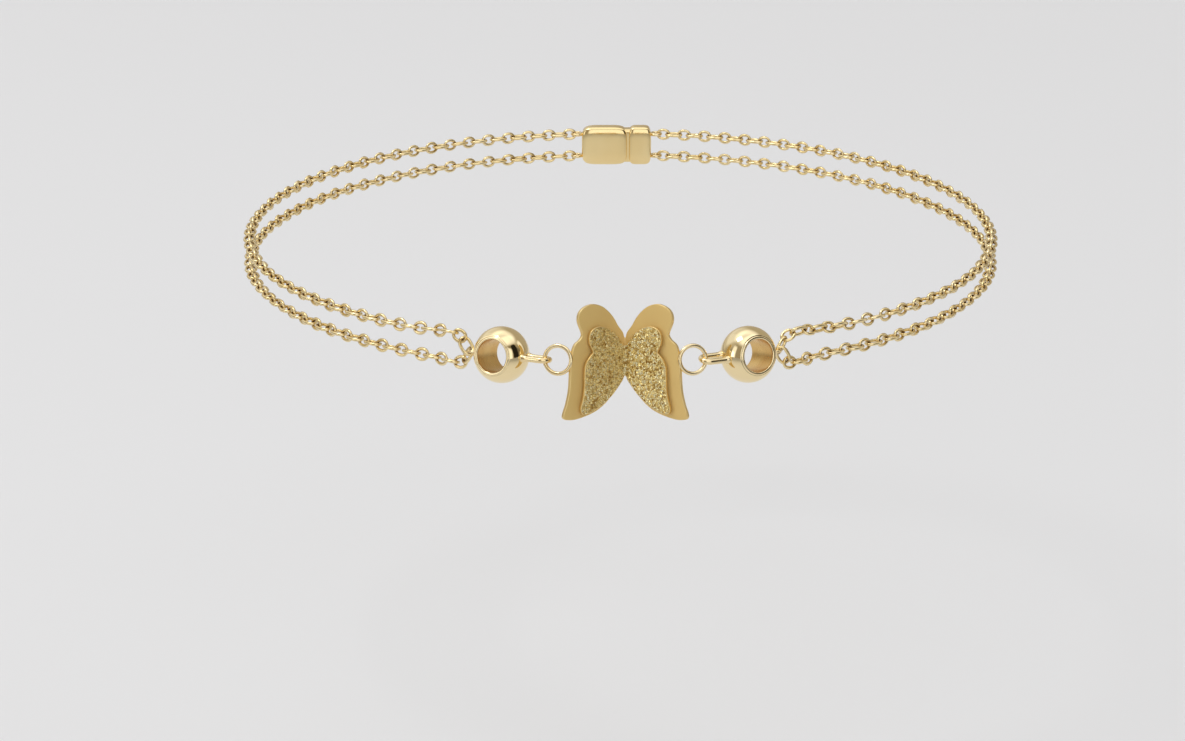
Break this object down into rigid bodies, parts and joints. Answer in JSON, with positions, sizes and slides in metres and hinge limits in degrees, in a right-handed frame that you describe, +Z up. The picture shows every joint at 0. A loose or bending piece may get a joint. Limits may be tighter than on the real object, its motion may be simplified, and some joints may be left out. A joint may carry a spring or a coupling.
{
  "type": "charm anklet",
  "caption": "Fine two-row chain anklet with a folded two-layer butterfly between two big-hole beads, clasped at the back.",
  "frame": {"origin": "axis of the ankle, half way between the two rows of chain", "axes": "+X to the wearer's left as seen in the picture's right, -Y towards the butterfly at the front, +Z up the leg along the loop's axis"},
  "size_m": [0.0792, 0.0836, 0.0104],
  "materials": {
    "satin_gold": "satin",
    "stardust_gold": "sparkling blasted grain",
    "polished_gold": "mirror polish",
    "chain_gold": "polished",
    "clasp_gold": "polished"
  },
  "bodies": {
    "root": {"outer_wings": "satin_gold", "inner_wings": "stardust_gold", "bead_left": "polished_gold", "bead_right": "polished_gold", "chain_left_upper": "chain_gold", "chain_left_lower": "chain_gold", "chain_right_upper": "chain_gold", "chain_right_lower": "chain_gold", "clasp": "clasp_gold"}
  },
  "joints": []
}
